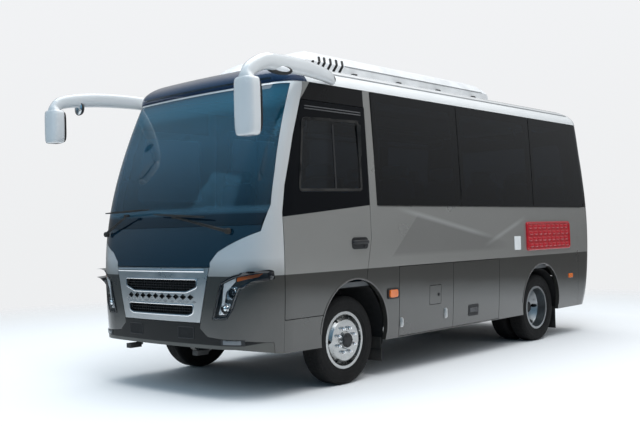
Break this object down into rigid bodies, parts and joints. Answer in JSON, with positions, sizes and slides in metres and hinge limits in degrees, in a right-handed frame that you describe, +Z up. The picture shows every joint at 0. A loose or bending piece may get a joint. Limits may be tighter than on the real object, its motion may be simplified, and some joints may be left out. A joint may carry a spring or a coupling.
{
  "type": "light passenger bus",
  "caption": "Light passenger bus with forward cab, wrap-around windscreen, steered front wheels, twin rear wheels, hinged doors, luggage flaps and roof air unit.",
  "frame": {"origin": "on the ground under the centre of the bounding box", "axes": "+Z up, front of the bus toward -Y, left-hand (driver) side toward +X"},
  "size_m": [2.675, 6.0851, 2.88],
  "materials": {
    "paint_roof": "gloss",
    "paint_silver": "metallic gloss",
    "paint_grey": "metallic gloss",
    "paint_navy": "gloss",
    "plastic_white": "satin",
    "gloss_black": "gloss",
    "black_plastic": "matte",
    "grey_plastic": "matte",
    "chrome_trim": "satin",
    "glass_tinted": "dark tint",
    "steel_black": "satin",
    "cast_iron": "rough",
    "steel_bare": "dull",
    "polished_wheel": "polished",
    "tyre": "matte",
    "rubber": "matte",
    "lamp_lens": "clear",
    "lamp_red": "gloss",
    "seat_fabric": "woven"
  },
  "bodies": {
    "body": {"roof_panel": "paint_roof", "roof_visor": "paint_navy", "roof_ac_unit": "plastic_white", "roof_hatch": "plastic_white", "body_side_left": "paint_silver", "body_side_right": "paint_silver", "front_fascia": "paint_silver", "windscreen": "glass_tinted", "front_mask": "gloss_black", "front_bumper": "black_plastic", "rear_panel": "paint_silver", "rear_window": "glass_tinted", "side_windows_left": "glass_tinted", "side_windows_right": "glass_tinted", "floor_panel": "grey_plastic", "chassis_rails": "steel_black", "chassis_cross_members": "steel_black", "engine_block": "cast_iron", "propshaft": "steel_black", "front_axle": "cast_iron", "rear_axle": "cast_iron", "leaf_springs": "steel_black", "mirrors": "plastic_white", "wipers": "black_plastic", "headlamps": "lamp_lens", "tail_lamps": "lamp_red", "mud_flaps": "rubber", "dashboard": "grey_plastic", "seat_cushions": "seat_fabric", "seat_backs": "seat_fabric", "seat_frames": "steel_black", "fuel_tank": "steel_black", "exhaust_pipe": "steel_bare"},
    "steer_left_body": {"steering_knuckle_left": "cast_iron"},
    "steer_right_body": {"steering_knuckle_right": "cast_iron"},
    "front_wheel_left_body": {"front_wheel_left": "polished_wheel", "front_tyre_left": "tyre"},
    "front_wheel_right_body": {"front_wheel_right": "polished_wheel", "front_tyre_right": "tyre"},
    "rear_wheels_left_body": {"rear_wheels_left": "polished_wheel", "rear_tyres_left": "tyre"},
    "rear_wheels_right_body": {"rear_wheels_right": "polished_wheel", "rear_tyres_right": "tyre"},
    "driver_door_body": {"driver_door": "paint_silver", "driver_door_window": "glass_tinted"},
    "passenger_door_body": {"passenger_door": "paint_silver", "passenger_door_window": "glass_tinted"},
    "luggage_flap_front_body": {"luggage_flap_front": "paint_grey"},
    "luggage_flap_rear_body": {"luggage_flap_rear": "paint_grey"},
    "fuel_door_body": {"fuel_door": "paint_grey"},
    "grille_panel_body": {"front_grille_panel": "chrome_trim"},
    "rear_door_body": {"rear_luggage_door": "paint_silver"},
    "steering_wheel_body": {"steering_wheel": "black_plastic"}
  },
  "joints": [
    {"name": "steer_left", "type": "hinge", "parent": "body", "child": "steer_left_body", "pos_m": [0.8, -1.645, 0.365], "axis": [0, 0, 1], "range_deg": [-35, 35]},
    {"name": "steer_right", "type": "hinge", "parent": "body", "child": "steer_right_body", "pos_m": [-0.8, -1.645, 0.365], "axis": [0, 0, 1], "range_deg": [-35, 35]},
    {"name": "front_wheel_left_spin", "type": "hinge", "parent": "steer_left_body", "child": "front_wheel_left_body", "pos_m": [0.89, -1.645, 0.365], "axis": [1, 0, 0], "continuous": true},
    {"name": "front_wheel_right_spin", "type": "hinge", "parent": "steer_right_body", "child": "front_wheel_right_body", "pos_m": [-0.89, -1.645, 0.365], "axis": [1, 0, 0], "continuous": true},
    {"name": "rear_wheels_left_spin", "type": "hinge", "parent": "body", "child": "rear_wheels_left_body", "pos_m": [0.89, 1.675, 0.365], "axis": [1, 0, 0], "continuous": true},
    {"name": "rear_wheels_right_spin", "type": "hinge", "parent": "body", "child": "rear_wheels_right_body", "pos_m": [-0.89, 1.675, 0.365], "axis": [1, 0, 0], "continuous": true},
    {"name": "steering_wheel_turn", "type": "hinge", "parent": "body", "child": "steering_wheel_body", "pos_m": [0.48, -2.12, 1.29], "axis": [0, 0.5299, 0.848], "range_deg": [-490, 490]},
    {"name": "driver_door_hinge", "type": "hinge", "parent": "body", "child": "driver_door_body", "pos_m": [1.064, -2.426, 1.4], "axis": [0, 0, -1], "range_deg": [0, 70]},
    {"name": "passenger_door_hinge", "type": "hinge", "parent": "body", "child": "passenger_door_body", "pos_m": [-1.066, -1.104, 1.3], "axis": [0, 0, 1], "range_deg": [0, 85]},
    {"name": "luggage_flap_front_hinge", "type": "hinge", "parent": "body", "child": "luggage_flap_front_body", "pos_m": [1.064, -0.553, 0.944], "axis": [0, -1, 0], "range_deg": [0, 85]},
    {"name": "luggage_flap_rear_hinge", "type": "hinge", "parent": "body", "child": "luggage_flap_rear_body", "pos_m": [1.064, 0.306, 0.944], "axis": [0, -1, 0], "range_deg": [0, 85]},
    {"name": "fuel_door_hinge", "type": "hinge", "parent": "luggage_flap_front_body", "child": "fuel_door_body", "pos_m": [1.055, -0.519, 0.656], "axis": [0, 0, -1], "range_deg": [0, 100]},
    {"name": "grille_panel_hinge", "type": "hinge", "parent": "body", "child": "grille_panel_body", "pos_m": [0, -2.803, 0.586], "axis": [1, 0, 0], "range_deg": [0, 70]},
    {"name": "rear_luggage_door_hinge", "type": "hinge", "parent": "body", "child": "rear_door_body", "pos_m": [0, 3.074, 1.343], "axis": [1, 0, 0], "range_deg": [0, 80]}
  ],
  "couplings": [
    {"joint": "steer_right", "follows": "steer_left", "ratio": 1},
    {"joint": "steering_wheel_turn", "follows": "steer_left", "ratio": 14}
  ]
}
